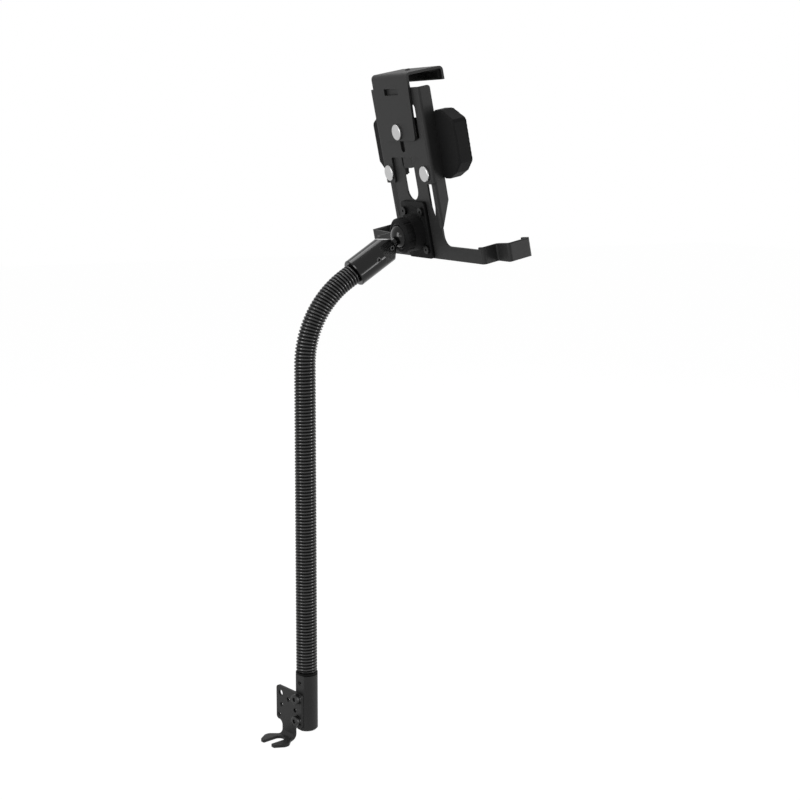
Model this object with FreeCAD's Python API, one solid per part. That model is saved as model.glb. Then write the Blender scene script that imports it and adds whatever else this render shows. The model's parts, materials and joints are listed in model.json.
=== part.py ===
import FreeCAD, Part
import math
import os

# Seat rail tablet mount: a forked foot for a seat bolt, a post, a ribbed gooseneck, a ball joint
# and a sheet-metal cradle. Lengths are in millimetres and angles in degrees.
# The origin is the seat bolt's axis at the fork's underside. Z is up, X runs along the cradle's
# width, and Y runs from the back of the cradle towards the front of what it holds.

V = FreeCAD.Vector

# Clearances
running_gap = 0.05        # radial gap of a shaft in its bore
screw_gap = 0.1           # radial gap round a fastener in a plain hole
seat_gap = 0.05           # gap under a head, a nut or a liner
ball_gap = 0.15           # gap between the ball joint's round faces
sheet_gap = 0.3           # gap between two faces that slide on each other
channel_gap = 0.4         # side gap between the two nested channels
over = 1.0                # how far a cutting shape reaches past a face

# Foot, drawn from the bolt's axis and turned about it
foot_turn = 12.0          # turn of the foot against the cradle's width
foot_sheet = 3.0
fork_slot_width = 12.0
fork_width = 34.0
fork_tip_width = 22.0
fork_tip_reach = 14.5     # prong tips, behind the bolt's axis
fork_tip_start = -5.0     # where the prongs begin to narrow
fork_tip_round = 2.0
neck_width = 19.5
bolt_to_plate = 12.0      # bolt axis to the upright plate
foot_bend_radius = 4.0    # inside radius
plate_left = 34.8         # from the post's axis to the plate's free edge
plate_right = 6.0         # from the post's axis to the other edge
plate_bottom = 15.8
plate_top = 51.7
plate_corner = 3.5
neck_fillet = 5.0
large_hole_radius = 3.3
large_hole_inset = (6.8, 7.2)     # from the plate's free edge and top
small_hole_radius = 2.25
pair_inset = 8.2          # the level pair of small holes, from the free edge
pair_spacing = 22.3
pair_drop = 19.2          # below the plate's top
middle_hole_drop = 10.9
corner_hole_inset = (4.6, 5.1)    # from the free edge and the plate's bottom

# Post
post_across = 15.5        # bolt axis to the post's axis, along the plate
post_radius = 11.0
post_flat = 9.0           # post's axis to its milled flat
post_bottom = 12.3
post_length = 58.0
post_chamfer = 1.5
post_bore_depth = 19.0

# Screws of the foot
bracket_screw_radius = 3.0
bracket_head_radius = 5.2
bracket_head_height = 3.6
bracket_screw_depth = 10.0   # in the post
bracket_screw_rise = 11.0    # lower screw, above the post's foot
bracket_screw_spacing = 23.0
screw_end_gap = 1.5          # left free at the end of a blind hole
washer_radius = 5.8
washer_height = 1.0
hex_key = 4.0
hex_key_depth = 2.0
set_screw_radius = 2.5
set_screw_key = 2.5
set_screw_recess = 0.5
post_set_screw_down = 8.2    # below the post's top

# Lower sleeve, which carries the gooseneck in the post
spigot_radius = 6.0
spigot_end_gap = 1.0
spigot_groove_depth = 1.0
spigot_groove_height = 6.4
sleeve_ring_radius = 11.0
sleeve_ring_height = 2.2
sleeve_chamfer = 0.5
hose_stub_length = 15.0

# Gooseneck
hose_crest_radius = 10.65
hose_root_radius = 9.3
hose_bore_radius = 7.0
rib_pitch = 3.0
rib_flat = 0.3            # share of the pitch that each crest and each root is level for
hose_straight = 310.0     # from the sleeve's ring to the start of the bend
hose_bend_radius = 96.5
hose_bend_angle = 57.4
hose_lead = 10.5          # straight run before the ferrule
hose_plug_radius = 9.9    # plain end inside the ferrule
hose_plug_gap = 1.0       # left free at the end of the ferrule's bore
core_gap = 0.4            # radial gap of the core in the hose
core_wall = 2.2
stub_gap = 0.2            # radial gap of the sleeve's stub in the hose
core_end_gap = 1.0        # from the stub, and inside the hose's far end

# Upper ferrule and ball stud, measured from the ferrule's mouth along its axis
ferrule_radius = 14.0
ferrule_bore_depth = 30.0
ferrule_barrel = 43.0
ferrule_length = 50.5
ferrule_nose_radius = 7.2
ferrule_edge = 0.8
ferrule_flat = 10.4       # axis to each milled side flat
ferrule_flat_start = 32.0
nose_cut_start = 38.5     # where the sloping cut on the upper side begins
nose_cut_end = 52.0       # where it would reach the height below
nose_cut_height = 5.4
hose_screw_place = 25.0
stud_screw_place = 45.0
stud_shank_radius = 4.0
stud_shank_length = 17.0
stud_end_gap = 0.5        # left free below the shank
ball_distance = 67.0
ball_radius = 13.0
ball_neck_radius = 4.8

# Ball socket, measured from the ball's centre
lean = 12.0               # lean of the cradle from upright
seat_thickness = 1.2
front_seat_angle = 45.0   # half angle of the front seat's cap
rear_seat_start = 80.0    # rear seat's edges, as angles from the cradle's side
rear_seat_end = 115.0
cup_wall = 1.7
cup_rim = 2.0
cup_shoulder = 3.2
cup_body_radius = 17.4
cup_floor = 0.8
cup_flare = 1.0
collar_wall = 1.5
collar_lip_clear = 2.0    # degrees between the cup's rim and the collar's round seat
collar_front = 3.0
collar_back = 7.0
collar_chamfer = 2.6
grip_count = 12
grip_radius = 2.0
grip_depth = 0.5
plate_u = 45.0            # four-hole base plate
plate_w = 57.0
plate_rise = 1.7          # plate's middle above the ball's level
plate_thickness = 3.3
base_corner = 4.0
base_hole_u = 32.0
base_hole_w = 38.0
base_screw_radius = 2.5
base_head_radius = 4.2
base_head_height = 2.6
base_head_key_depth = 1.7
base_nut_radius = 4.6
base_nut_height = 3.7
base_screw_out = 1.0      # screw's end beyond its nut

# Lower frame: a slotted plate with side flanges and a tray arm to each side
frame_sheet = 2.0
frame_half = 43.6
frame_top = 112.0
frame_flange = 13.0
flange_foot = 4.0
flange_full = 30.0        # height from which the flange has its whole depth
frame_bend = 1.5          # inside radius
tray_bottom = -27.0
arm_height = 13.7
arm_fillet = 10.0
centre_slot_half = 10.5
centre_slot_bottom = 31.0
side_slot_inset = 9.6     # side slot's middle inside the frame's edge
side_slot_width = 8.0
side_slot_bottom = 10.6
side_slot_point = 14.0
side_slot_top = 107.5

# Corner hooks
hook_half = 130.0
hook_back = 18.5
hook_front = 44.0
hook_length_left = 44.0   # from the arm's end to the corner
hook_length_right = 27.0
hook_foot = 6.0           # from the arm's end to the step's middle
hook_lip = 12.0           # length of the lip in front
hook_ledge = 14.0         # width of the ledge at the bottom
hook_top = -9.0           # at the corner
hook_drop = 2.0           # how much lower the hook's inner end is
hook_corner = 1.5
pad_thickness = 1.5
pad_edge = 1.0
pad_bend = 0.5            # inside radius

# Upper frame: a channel with a window between two lobes
upper_bottom = 48.0
upper_top = 141.0
upper_corner = 4.0
upper_flange = 14.0
upper_flange_bottom = 55.0
lobe_width = 19.5         # each lobe beside the window
window_top = 73.8
window_corner = 2.0
guide_slot_half = 3.75
guide_slot_bottom = 79.0
guide_slot_top = 133.0
light_slot_inset = 14.5   # from the frame's edge
light_slot_width = 7.0
light_slot_bottom = 92.0
light_slot_top = 125.0
ear_bottom = 62.0
ear_top = 106.0
ear_depth = 26.0
ear_corner = 3.0

# Clamp screws
clamp_head_radius = 7.75
clamp_head_height = 2.4
clamp_head_chamfer = 0.5
clamp_shank_radius = 3.0
clamp_shank_out = 1.0     # shank's end beyond its nut
frame_clamp_height = 58.2
clamp_washer_radius = 7.0
clamp_washer_height = 1.5
clamp_nut_radius = 5.7
clamp_nut_height = 4.0
jaw_clamp_height = 99.4
nut_bar_half = 7.5
nut_bar_below = 36.4      # bar's foot below the screw
nut_bar_above = 10.0
nut_bar_thickness = 5.6
nut_bar_corner = 2.0

# Top jaw
jaw_sheet = 2.5
jaw_half = 34.0
jaw_foot_half = 30.5
jaw_foot = 8.9            # clamp screw to the jaw's bottom edge
jaw_top = 155.3
jaw_front = 39.0
jaw_lip_bottom = 142.0
jaw_bend = 2.0            # inside radius
jaw_corner = 4.0
jaw_slot_half = 13.0
jaw_slot_bottom = 135.0
jaw_slot_height = 6.4
jaw_slot_corner = 1.0
jaw_pad_back = 24.0
jaw_pad_margin = 2.0
rivet_place = 20.0
rivet_radius = 3.0
rivet_top_radius = 2.0
rivet_height = 1.4

# Side wings; the outline is measured from the ear's outer face and its foot
wing_back = 13.5
wing_front = 26.8
wing_outline = ((12.0, 54.5), (30.0, 45.0), (31.5, 42.0), (31.5, 4.0), (21.5, -5.5), (8.0, -11.3))
wing_corner = 2.0
wing_wall = 2.4
wing_inner_wall = 6.0
wing_edge = 1.5
wing_pad_thickness = 2.4
wing_screw_radius = 2.0
wing_screw_inset = 8.0    # from the ear's ends
wing_pad_inset = 0.5
wing_screw_depth = 20.5
wing_screw_head_radius = 3.6
wing_screw_top_radius = 2.6
wing_screw_head_height = 1.8
wing_screw_length = 5.0

# Places that follow from the sizes above
post_depth = bolt_to_plate + foot_sheet + post_flat
foot_angle = math.radians(foot_turn)
post_x = post_across * math.cos(foot_angle) - post_depth * math.sin(foot_angle)
post_y = post_across * math.sin(foot_angle) + post_depth * math.cos(foot_angle)
post_top = post_bottom + post_length
bracket_screw_heights = (post_bottom + bracket_screw_rise, post_bottom + bracket_screw_rise + bracket_screw_spacing)
hose_start = post_top + sheet_gap + sleeve_ring_height
bend_start = hose_start + hose_straight
turn = math.radians(hose_bend_angle)
bend_length = hose_bend_radius * turn
hose_length = hose_straight + bend_length + hose_lead
ferrule_axis = V(0, math.sin(turn), math.cos(turn))
seat_inner = ball_radius + ball_gap
seat_outer = seat_inner + seat_thickness
socket_radius = seat_outer + ball_gap
thread_radius = socket_radius + cup_wall
collar_bore = thread_radius + running_gap
collar_radius = collar_bore + collar_wall
upper_half = frame_half + channel_gap + frame_sheet
side_slot_place = frame_half - side_slot_inset
window_half = upper_half - lobe_width
light_slot_place = upper_half - light_slot_inset
jaw_bottom = jaw_clamp_height - jaw_foot
wing_screw_heights = (ear_bottom + wing_screw_inset, ear_top - wing_screw_inset)
frame_back = frame_sheet + sheet_gap
frame_front = frame_back + frame_sheet
base_back = frame_back - plate_thickness
ball_behind = cup_floor + socket_radius - base_back
jaw_face = -sheet_gap
jaw_back = jaw_face - jaw_sheet
arm_top = tray_bottom + arm_height
hook_inner_top = hook_top - hook_drop
base_rows = (plate_rise - base_hole_w / 2, plate_rise + base_hole_w / 2)
frame_nut_face = frame_front + sheet_gap + clamp_washer_height + seat_gap

os.makedirs("parts", exist_ok=True)


def front(a, b, c):
    """A point of a drawing seen from behind the cradle: across, up, depth."""
    return V(a, c, b)


def top(a, b, c):
    """A point of a drawing seen from above: across, depth, up."""
    return V(a, b, c)


def side(a, b, c):
    """A point of a drawing seen from the right: depth, up, across."""
    return V(c, a, b)


def outline(corners, view, level):
    """A closed wire through corners (a, b) or (a, b, radius)."""
    spans = []
    for i, corner in enumerate(corners):
        here = V(corner[0], corner[1], 0)
        if len(corner) < 3 or corner[2] == 0:
            spans.append((here, None, here))
            continue
        before = V(corners[i - 1][0], corners[i - 1][1], 0) - here
        following = corners[(i + 1) % len(corners)]
        after = V(following[0], following[1], 0) - here
        before.normalize()
        after.normalize()
        half = before.getAngle(after) / 2
        towards_centre = (before + after).normalize()
        centre = here + towards_centre * (corner[2] / math.sin(half))
        reach = corner[2] / math.tan(half)
        spans.append((here + before * reach, centre - towards_centre * corner[2], here + after * reach))
    edges = []
    for i, (start, middle, end) in enumerate(spans):
        if middle:
            arc = [view(p.x, p.y, level) for p in (start, middle, end)]
            edges.append(Part.Arc(*arc).toShape())
        following = spans[(i + 1) % len(spans)][0]
        if (following - end).Length > 1e-6:
            edges.append(Part.makeLine(view(end.x, end.y, level), view(following.x, following.y, level)))
    return Part.Wire(edges)


def prism(corners, view, start, end):
    """The outline drawn in a view, with its thickness from start to end."""
    return Part.Face(outline(corners, view, start)).extrude(view(0, 0, end - start))


def rectangle(a0, a1, b0, b1, radius=0):
    """The four corners of a box outline."""
    return [(a0, b0, radius), (a1, b0, radius), (a1, b1, radius), (a0, b1, radius)]


def mirrored(corners):
    """The corners and their mirror images, which close the outline."""
    return list(corners) + [(-c[0],) + tuple(c[1:]) for c in reversed(corners)]


def folded(points, sheet, inside):
    """The outline of a folded strip whose middle line runs through the points."""
    edges = ([], [])
    last = len(points) - 1
    for i, (a, b) in enumerate(points):
        here = V(a, b, 0)
        ahead = V(points[min(i + 1, last)][0], points[min(i + 1, last)][1], 0) - here
        behind = here - V(points[max(i - 1, 0)][0], points[max(i - 1, 0)][1], 0)
        if i == 0:
            behind = V(ahead)
        if i == last:
            ahead = V(behind)
        ahead.normalize()
        behind.normalize()
        across = V(-behind.y - ahead.y, behind.x + ahead.x, 0).normalize()
        reach = sheet / 2 / across.dot(V(-ahead.y, ahead.x, 0))
        bend = behind.x * ahead.y - behind.y * ahead.x
        for edge, sign in zip(edges, (1, -1)):
            radius = 0
            if abs(bend) > 1e-6:
                radius = inside if bend * sign > 0 else inside + sheet
            place = here + across * (reach * sign)
            edge.append((place.x, place.y, radius))
    return edges[0] + edges[1][::-1]


def cylinder(radius, start, end):
    """A solid cylinder between two points."""
    return Part.makeCylinder(radius, (end - start).Length, start, end - start)


def hexagon(radius, a=0.0, b=0.0):
    """The corners of a hexagon about a point."""
    turns = [math.pi / 3 * k for k in range(6)]
    return [(a + radius * math.cos(t), b + radius * math.sin(t)) for t in turns]


def lathe(profile):
    """A solid turned about Z from a profile of (radius, height) corners with optional radii."""
    return Part.Face(outline(profile, front, 0)).revolve(V(0, 0, 0), V(0, 0, 1), 360)


def placed(shape, placement):
    """Moves a shape on from where it is."""
    shape.Placement = placement.multiply(shape.Placement)
    return shape


def on_foot(shape):
    """Turns a shape drawn from the bolt's axis to where the foot points."""
    return placed(shape, FreeCAD.Placement(V(0, 0, 0), FreeCAD.Rotation(V(0, 0, 1), foot_turn)))


def on_hose(shape):
    """Places a shape drawn along Z on the ferrule's axis, with its start at the mouth."""
    return placed(shape, FreeCAD.Placement(hose_point(hose_length)[0], FreeCAD.Rotation(V(1, 0, 0), -hose_bend_angle)))


def in_cradle(shape):
    """Places a shape drawn about the cradle's base point."""
    origin = ball_centre + V(0, math.cos(math.radians(lean)), math.sin(math.radians(lean))) * ball_behind
    return placed(shape, FreeCAD.Placement(origin, FreeCAD.Rotation(V(1, 0, 0), lean)))


def on_ball(shape):
    """Places a shape turned about Z, with the ball's centre at its origin, on the socket's axis."""
    return placed(shape, FreeCAD.Placement(ball_centre, FreeCAD.Rotation(V(1, 0, 0), lean - 90)))


def hose_point(s):
    """The point of the gooseneck's centre line at the length s, and its lean from upright."""
    if s <= hose_straight:
        return V(post_x, post_y, hose_start + s), 0.0
    angle = min((s - hose_straight) / hose_bend_radius, turn)
    rest = max(s - hose_straight - bend_length, 0.0)
    y = post_y + hose_bend_radius * (1 - math.cos(angle)) + rest * math.sin(angle)
    z = bend_start + hose_bend_radius * math.sin(angle) + rest * math.cos(angle)
    return V(post_x, y, z), math.degrees(angle)


def hose_circle(s, radius):
    """A circle square to the centre line; its own X axis always points along X."""
    point, angle = hose_point(s)
    circle = Part.makeCircle(radius)
    circle.Placement = FreeCAD.Placement(point, FreeCAD.Rotation(V(1, 0, 0), -angle))
    return circle


def hose_tube(radius, start, end):
    """A round bar along the centre line."""
    lower = cylinder(radius, hose_point(start)[0], hose_point(hose_straight)[0])
    section = Part.Face(Part.Wire(hose_circle(hose_straight, radius)))
    pivot = V(post_x, post_y + hose_bend_radius, bend_start)
    bend = section.revolve(pivot, V(-1, 0, 0), hose_bend_angle)
    upper = cylinder(radius, hose_point(hose_straight + bend_length)[0], hose_point(end)[0])
    return lower.multiFuse([bend, upper]).removeSplitter()


ball_centre = hose_point(hose_length)[0] + ferrule_axis * ball_distance


# Foot and post

def seat_bracket():
    middle = foot_sheet / 2
    far = bolt_to_plate + foot_sheet
    left = post_across - plate_left
    right = post_across + plate_right
    neck = neck_width / 2
    half = fork_width / 2
    tip = fork_tip_width / 2
    slot = fork_slot_width / 2
    bend_top = foot_sheet + foot_bend_radius
    strip = folded(
        [(-fork_tip_reach, middle), (bolt_to_plate + middle, middle), (bolt_to_plate + middle, plate_top)],
        foot_sheet, foot_bend_radius)
    sheet = prism(strip, side, left, right)
    face = [
        (left, plate_top, plate_corner), (right, plate_top, plate_corner), (right, plate_bottom, plate_corner),
        (neck, plate_bottom, neck_fillet), (neck, bend_top),
        (-neck, bend_top), (-neck, plate_bottom, neck_fillet), (left, plate_bottom, plate_corner),
    ]
    upright = sheet.common(prism(face, front, 0, far + over))
    prongs = mirrored([
        (slot, slot, slot), (slot, -fork_tip_reach, fork_tip_round / 2), (tip, -fork_tip_reach, fork_tip_round),
        (half, fork_tip_start, neck_fillet), (half, 0, neck_fillet),
        (neck, bolt_to_plate - foot_bend_radius, neck_fillet), (neck, far),
    ])
    fork = sheet.common(prism(prongs, top, -over, bend_top))
    plate = upright.fuse(fork).removeSplitter()
    large_x, large_z = large_hole_inset
    corner_x, corner_z = corner_hole_inset
    holes = [
        (left + large_x, plate_top - large_z, large_hole_radius),
        (left + corner_x, plate_bottom + corner_z, small_hole_radius),
        (left + pair_inset + pair_spacing / 2, plate_top - middle_hole_drop, small_hole_radius),
    ]
    holes += [(left + pair_inset + k * pair_spacing, plate_top - pair_drop, small_hole_radius) for k in range(2)]
    holes += [(post_across, z, bracket_screw_radius + screw_gap) for z in bracket_screw_heights]
    for x, z, radius in holes:
        plate = plate.cut(cylinder(radius, V(x, bolt_to_plate - over, z), V(x, far + over, z)))
    return on_foot(plate)


def post():
    foot = V(post_across, post_depth, post_bottom)
    body = lathe([
        (0, 0), (post_radius - post_chamfer, 0), (post_radius, post_chamfer), (post_radius, post_length),
        (0, post_length),
    ])
    body = placed(body, FreeCAD.Placement(foot, FreeCAD.Rotation()))
    flat = bolt_to_plate + foot_sheet
    behind = rectangle(post_across - 2 * post_radius, post_across + 2 * post_radius, flat - post_radius, flat)
    body = body.cut(prism(behind, top, 0, post_top + over))
    bore_floor = foot + V(0, 0, post_length - post_bore_depth)
    body = body.cut(cylinder(spigot_radius + running_gap, bore_floor, foot + V(0, 0, post_length + over)))
    for z in bracket_screw_heights:
        start = V(post_across, flat - over, z)
        end = V(post_across, flat + bracket_screw_depth + screw_end_gap, z)
        body = body.cut(cylinder(bracket_screw_radius + screw_gap, start, end))
    z = post_top - post_set_screw_down
    hole = cylinder(set_screw_radius + screw_gap, V(post_across, flat - over, z), V(post_across, post_depth, z))
    return on_foot(body.cut(hole))


def bracket_screw(z):
    face = bolt_to_plate - washer_height - 2 * seat_gap
    back = face - bracket_head_height
    tip = bolt_to_plate + foot_sheet + bracket_screw_depth
    head = cylinder(bracket_head_radius, V(post_across, back, z), V(post_across, face, z))
    key = prism(hexagon(hex_key / math.sqrt(3), post_across, z), front, back, back + hex_key_depth)
    shank = cylinder(bracket_screw_radius, V(post_across, face, z), V(post_across, tip, z))
    return on_foot(head.cut(key).fuse(shank))


def bracket_washer(z):
    face = bolt_to_plate - seat_gap
    start = V(post_across, face - washer_height, z)
    end = V(post_across, face, z)
    return on_foot(cylinder(washer_radius, start, end).cut(cylinder(bracket_screw_radius + screw_gap, start, end)))


def set_screw(length):
    """A set screw along Z from the origin, with its key at the far end."""
    body = cylinder(set_screw_radius, V(0, 0, 0), V(0, 0, length))
    return body.cut(prism(hexagon(set_screw_key / math.sqrt(3)), top, length / 2, length))


def post_set_screw():
    tip = post_depth - spigot_radius + spigot_groove_depth - 2 * running_gap
    head = bolt_to_plate + foot_sheet + set_screw_recess
    place = V(post_across, tip, post_top - post_set_screw_down)
    return on_foot(placed(set_screw(tip - head), FreeCAD.Placement(place, FreeCAD.Rotation(V(1, 0, 0), 90))))


# Gooseneck

def lower_sleeve():
    foot = spigot_end_gap - post_bore_depth
    groove = -post_set_screw_down
    waist = spigot_radius - spigot_groove_depth
    half = spigot_groove_height / 2
    stub = hose_bore_radius - stub_gap
    shoulder = sheet_gap + sleeve_ring_height
    bevel = sleeve_chamfer
    body = lathe([
        (0, foot), (spigot_radius - bevel, foot), (spigot_radius, foot + bevel), (spigot_radius, groove - half),
        (waist, groove - half), (waist, groove + half), (spigot_radius, groove + half), (spigot_radius, sheet_gap),
        (sleeve_ring_radius - bevel, sheet_gap), (sleeve_ring_radius, sheet_gap + bevel),
        (sleeve_ring_radius, shoulder - bevel), (sleeve_ring_radius - bevel, shoulder), (stub, shoulder),
        (stub, shoulder + hose_stub_length), (0, shoulder + hose_stub_length),
    ])
    return placed(body, FreeCAD.Placement(V(post_x, post_y, post_top), FreeCAD.Rotation()))


def gooseneck():
    count = round(hose_length / rib_pitch)
    pitch = hose_length / count
    level = pitch * rib_flat / 2
    circles = [hose_circle(seat_gap, hose_root_radius)]
    for k in range(count):
        start = k * pitch
        middle = start + pitch / 2
        circles.append(hose_circle(start + level, hose_root_radius))
        circles.append(hose_circle(middle - level, hose_crest_radius))
        circles.append(hose_circle(middle + level, hose_crest_radius))
        circles.append(hose_circle(start + pitch - level, hose_root_radius))
    circles.append(hose_circle(hose_length, hose_plug_radius))
    circles.append(hose_circle(hose_length + ferrule_bore_depth - hose_plug_gap, hose_plug_radius))
    body = Part.makeLoft([Part.Wire(circle) for circle in circles], True, True)
    return body.cut(hose_tube(hose_bore_radius, -over, hose_length + ferrule_bore_depth))


def gooseneck_core():
    radius = hose_bore_radius - core_gap
    start = hose_stub_length + core_end_gap
    end = hose_length + ferrule_bore_depth - hose_plug_gap - core_end_gap
    return hose_tube(radius, start, end).cut(hose_tube(radius - core_wall, start - over, end + over))


# Ferrule and ball

def upper_ferrule():
    shank = stud_shank_radius + running_gap
    bore = hose_plug_radius + running_gap
    shank_floor = ferrule_length - stud_shank_length - stud_end_gap
    body = lathe([
        (bore, 0), (ferrule_radius - ferrule_edge, 0), (ferrule_radius, ferrule_edge), (ferrule_radius, ferrule_barrel),
        (ferrule_nose_radius, ferrule_length), (shank, ferrule_length), (shank, shank_floor), (0, shank_floor),
        (0, ferrule_bore_depth), (bore, ferrule_bore_depth),
    ])
    reach = ferrule_radius + over
    for outside in ((ferrule_flat, reach), (-reach, -ferrule_flat)):
        flat = rectangle(outside[0], outside[1], -reach, reach)
        body = body.cut(prism(flat, top, ferrule_flat_start, ferrule_length + over))
    slope = (ferrule_radius - nose_cut_height) / (nose_cut_end - nose_cut_start)
    wedge = [
        (-ferrule_radius - slope * over, nose_cut_start - over), (-nose_cut_height, nose_cut_end),
        (-2 * ferrule_radius, nose_cut_end),
    ]
    body = body.cut(prism(wedge, side, -reach, reach))
    for s in (hose_screw_place, stud_screw_place):
        body = body.cut(cylinder(set_screw_radius + screw_gap, V(0, 0, s), V(reach, 0, s)))
    return on_hose(body)


def ferrule_set_screw(s, inner, outer):
    start = inner + running_gap
    screw = set_screw(outer - set_screw_recess - start)
    return on_hose(placed(screw, FreeCAD.Placement(V(start, 0, s), FreeCAD.Rotation(V(0, 1, 0), 90))))


def ball_stud():
    shoulder = ferrule_length + seat_gap
    shank = cylinder(stud_shank_radius, V(0, 0, ferrule_length - stud_shank_length), V(0, 0, shoulder))
    neck = cylinder(ball_neck_radius, V(0, 0, shoulder), V(0, 0, ball_distance))
    ball = Part.makeSphere(ball_radius, V(0, 0, ball_distance))
    return on_hose(shank.fuse(neck).fuse(ball).removeSplitter())


# Ball socket

def polar(radius, angle):
    """A point of a half section: radius from the axis, and place along it."""
    angle = math.radians(angle)
    return V(radius * math.sin(angle), 0, radius * math.cos(angle))


def half_arc(radius, start, end):
    """An arc about the ball's centre between two angles from the socket's axis."""
    return Part.Arc(polar(radius, start), polar(radius, (start + end) / 2), polar(radius, end)).toShape()


def turned(edges):
    """A solid turned about Z from joined edges of its half section."""
    return Part.Face(Part.Wire(Part.__sortEdges__(edges))).revolve(V(0, 0, 0), V(0, 0, 1), 360)


def ball_seat(start, end):
    """A spherical liner between two angles."""
    edges = [
        half_arc(seat_inner, start, end), half_arc(seat_outer, start, end),
        Part.makeLine(polar(seat_inner, start), polar(seat_outer, start)),
        Part.makeLine(polar(seat_inner, end), polar(seat_outer, end)),
    ]
    return on_ball(turned(edges))


def socket_base():
    edges = [half_arc(socket_radius, 0, 90)]
    face = socket_radius + cup_floor
    corners = [
        V(socket_radius, 0, 0), V(socket_radius, 0, -cup_rim), V(thread_radius, 0, -cup_rim),
        V(thread_radius, 0, cup_shoulder), V(cup_body_radius, 0, cup_shoulder), V(cup_body_radius + cup_flare, 0, face),
        V(0, 0, face), V(0, 0, socket_radius),
    ]
    for start, end in zip(corners, corners[1:]):
        edges.append(Part.makeLine(start, end))
    plate = rectangle(-plate_u / 2, plate_u / 2, -plate_rise - plate_w / 2, plate_w / 2 - plate_rise, base_corner)
    body = turned(edges).fuse(prism(plate, top, face, face + plate_thickness))
    for u in (-base_hole_u / 2, base_hole_u / 2):
        for w in base_rows:
            start = V(u, -w, face - over)
            end = V(u, -w, face + plate_thickness + over)
            body = body.cut(cylinder(base_screw_radius + screw_gap, start, end))
    return on_ball(body)


def lock_collar():
    lip = socket_radius + ball_gap
    start_angle = math.degrees(math.acos(-cup_rim / socket_radius)) + collar_lip_clear
    mouth_angle = math.degrees(math.acos(-collar_back / lip))
    start = polar(lip, start_angle)
    corners = [
        polar(lip, mouth_angle), V(collar_radius - collar_chamfer, 0, -collar_back),
        V(collar_radius, 0, collar_chamfer - collar_back), V(collar_radius, 0, collar_front),
        V(collar_bore, 0, collar_front), V(collar_bore, 0, start.z), start,
    ]
    edges = [half_arc(lip, start_angle, mouth_angle)]
    for here, following in zip(corners, corners[1:]):
        edges.append(Part.makeLine(here, following))
    body = turned(edges)
    reach = collar_radius + grip_radius - grip_depth
    for k in range(grip_count):
        angle = 2 * math.pi * (k + 0.5) / grip_count
        x = reach * math.cos(angle)
        y = reach * math.sin(angle)
        body = body.cut(cylinder(grip_radius, V(x, y, -collar_back - over), V(x, y, collar_front + over)))
    return on_ball(body)


def base_screw(u, w):
    face = base_back - seat_gap
    back = face - base_head_height
    tip = frame_front + seat_gap + base_nut_height + base_screw_out
    head = cylinder(base_head_radius, V(u, back, w), V(u, face, w))
    key = prism(hexagon(set_screw_key / math.sqrt(3), u, w), front, back, back + base_head_key_depth)
    return in_cradle(head.cut(key).fuse(cylinder(base_screw_radius, V(u, face, w), V(u, tip, w))))


def base_nut(u, w):
    start = V(u, frame_front + seat_gap, w)
    end = start + V(0, base_nut_height, 0)
    nut = prism(hexagon(base_nut_radius, u, w), front, start.y, end.y)
    return in_cradle(nut.cut(cylinder(base_screw_radius + screw_gap, start, end)))


# Cradle

def channel(half, sheet, back, depth, bottom, height):
    """A channel with its web at the back and a flange to each side."""
    edge = half - sheet / 2
    line = [(-edge, back + depth), (-edge, back + sheet / 2), (edge, back + sheet / 2), (edge, back + depth)]
    return prism(folded(line, sheet, frame_bend), top, bottom, height)


def slot_outline(place, width, bottom, height):
    """A slot with round ends."""
    half = width / 2
    return rectangle(place - half, place + half, bottom, height, half)


def lower_frame():
    body = channel(frame_half, frame_sheet, frame_back, frame_flange, flange_foot, frame_top)
    flange_edge = frame_back + frame_flange
    slope = [
        (frame_front, flange_foot - over), (frame_front, flange_foot), (flange_edge, flange_full),
        (flange_edge + over, flange_full), (flange_edge + over, flange_foot - over),
    ]
    body = body.cut(prism(slope, side, -frame_half - over, frame_half + over))
    for sign in (1, -1):
        end = sign * hook_foot_end(sign)
        edge = sign * frame_half
        arm = [
            (0, tray_bottom), (end, tray_bottom), (end, arm_top), (edge, arm_top, arm_fillet), (edge, flange_foot),
            (0, flange_foot),
        ]
        body = body.fuse(prism(arm, front, frame_back, frame_front))
    centre = slot_outline(0, 2 * centre_slot_half, centre_slot_bottom, frame_top + 2 * centre_slot_half)
    cuts = [prism(centre, front, 0, 2 * frame_front)]
    half = side_slot_width / 2
    for place in (-side_slot_place, side_slot_place):
        slot = [
            (place, side_slot_bottom, 1.0), (place + half, side_slot_bottom + side_slot_point),
            (place + half, side_slot_top, half), (place - half, side_slot_top, half),
            (place - half, side_slot_bottom + side_slot_point),
        ]
        cuts.append(prism(slot, front, 0, 2 * frame_front))
    for u in (-base_hole_u / 2, base_hole_u / 2):
        for w in base_rows:
            cuts.append(cylinder(base_screw_radius + screw_gap, V(u, 0, w), V(u, 2 * frame_front, w)))
    return in_cradle(body.cut(cuts).removeSplitter())


def hook_foot_end(sign):
    """Where the arm ends and its hook begins, from the middle."""
    return hook_half - (hook_length_right if sign > 0 else hook_length_left)


def handed(shape, sign):
    """The shape for the right side, or its mirror image for the left."""
    return shape if sign > 0 else shape.mirror(V(0, 0, 0), V(1, 0, 0))


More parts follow.
